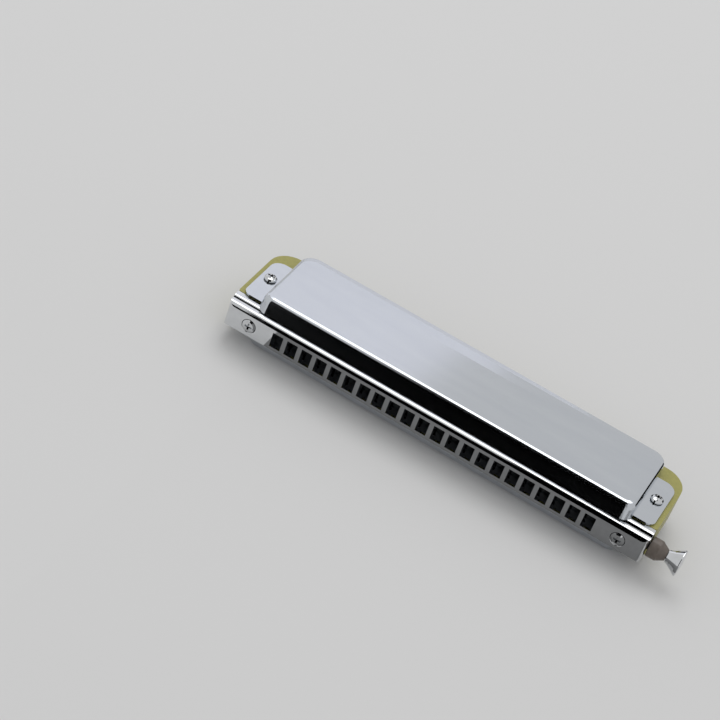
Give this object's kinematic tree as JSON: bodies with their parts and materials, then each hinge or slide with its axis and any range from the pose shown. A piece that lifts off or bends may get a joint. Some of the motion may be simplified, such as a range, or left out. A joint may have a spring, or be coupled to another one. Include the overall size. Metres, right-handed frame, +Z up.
{
  "type": "chromatic harmonica",
  "caption": "Slide chromatic harmonica with a chromed square-hole mouthpiece, domed steel covers, olive comb and a sprung side button.",
  "frame": {"origin": "centre of the mouthpiece face", "axes": "+X along the length towards the slide button, +Y from the mouthpiece to the back, +Z up through the upper cover"},
  "size_m": [0.2094, 0.0466, 0.026],
  "materials": {
    "chrome": "polished",
    "steel": "polished",
    "brass": "satin",
    "olive": "satin",
    "collar": "satin",
    "silicone": "matte"
  },
  "bodies": {
    "body": {"comb": "olive", "mouthpiece": "chrome", "slide_backing_plate": "steel", "slide_bumper": "silicone", "slide_spring": "steel", "spring_pin": "steel", "upper_reed_plate": "brass", "upper_cover": "steel", "upper_plate_screw_1": "steel", "upper_plate_screw_2": "steel", "upper_plate_screw_3": "steel", "upper_plate_screw_4": "steel", "lower_reed_plate": "brass", "lower_cover": "steel", "lower_plate_screw_1": "steel", "lower_plate_screw_2": "steel", "lower_plate_screw_3": "steel", "lower_plate_screw_4": "steel", "mouthpiece_screw_left": "chrome", "cover_screw_left": "chrome", "cover_nut_left": "chrome", "mouthpiece_screw_right": "chrome", "cover_screw_right": "chrome", "cover_nut_right": "chrome"},
    "slide": {"slide_plate": "steel", "button_collar": "collar", "button": "chrome"}
  },
  "joints": [
    {"name": "slide_press", "type": "slide", "parent": "body", "child": "slide", "axis": [-1, 0, 0], "range_m": [0, 0.00345], "stiffness_N_per_m": 600, "springref_m": -0.002, "deforming": ["slide_spring"]}
  ]
}
